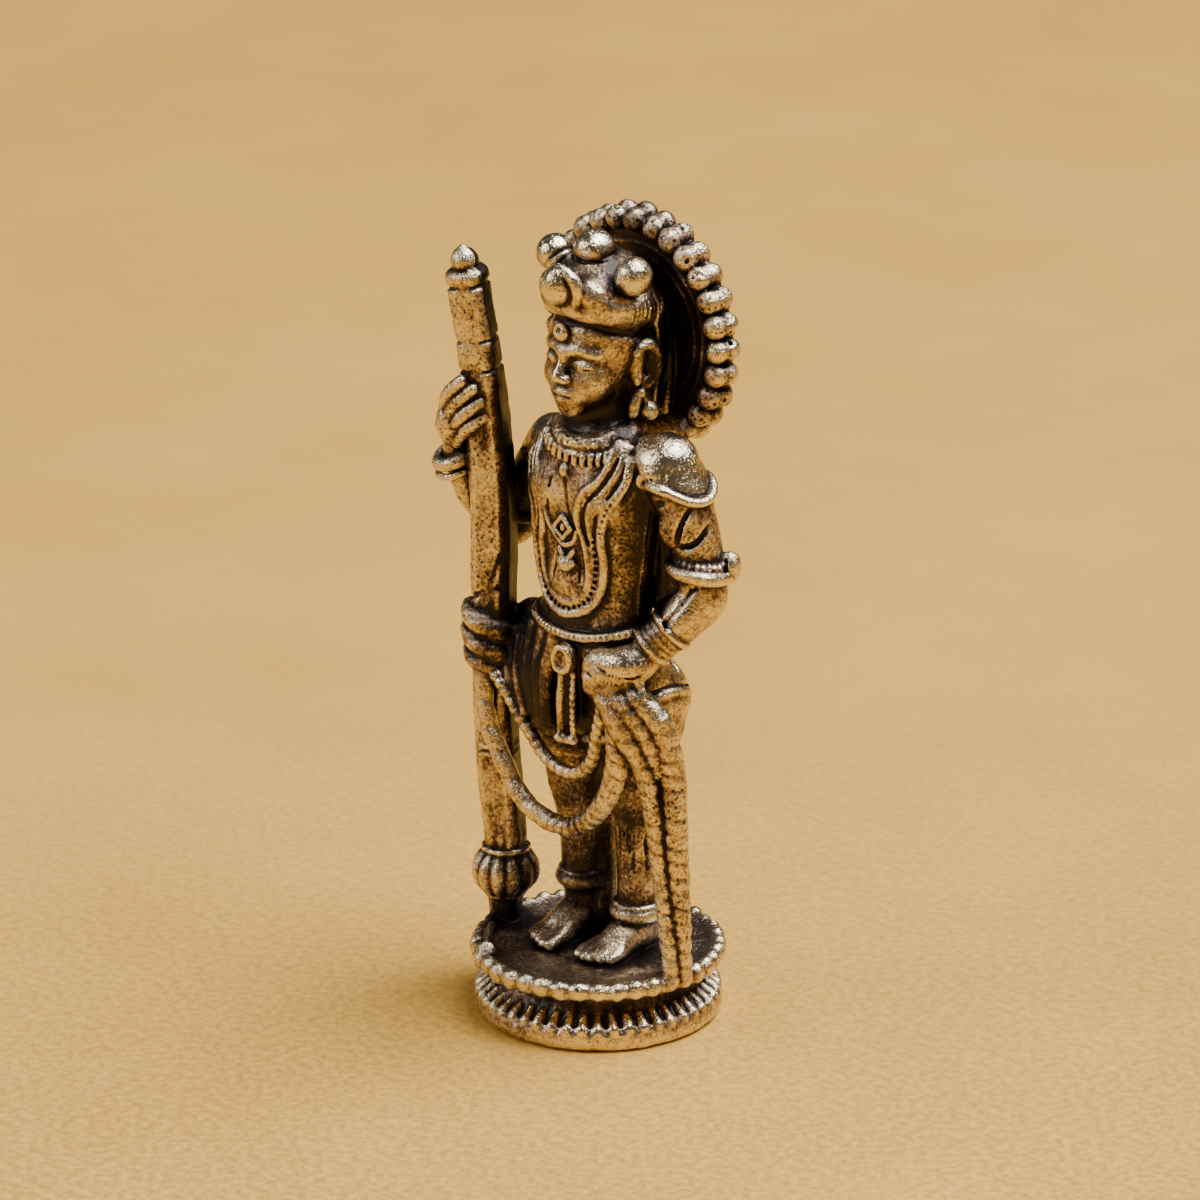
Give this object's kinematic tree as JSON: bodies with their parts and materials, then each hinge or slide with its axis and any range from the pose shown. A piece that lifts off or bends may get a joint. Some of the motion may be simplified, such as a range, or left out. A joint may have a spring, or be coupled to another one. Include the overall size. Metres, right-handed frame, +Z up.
{
  "type": "krishna figure",
  "caption": "Small antique brass figure of Krishna standing on a round beaded base with a mace, a looped rope and an upright beaded halo, cast in one piece.",
  "frame": {"origin": "the middle of the round underside of the base", "axes": "+Z up from the underside to the top of the halo, the figure faces -Y, and its left hand is on +X"},
  "size_m": [0.0196, 0.0156, 0.0495],
  "materials": {
    "antique_brass": "as_cast"
  },
  "bodies": {
    "root": {"krishna_figure": "antique_brass"}
  },
  "joints": []
}
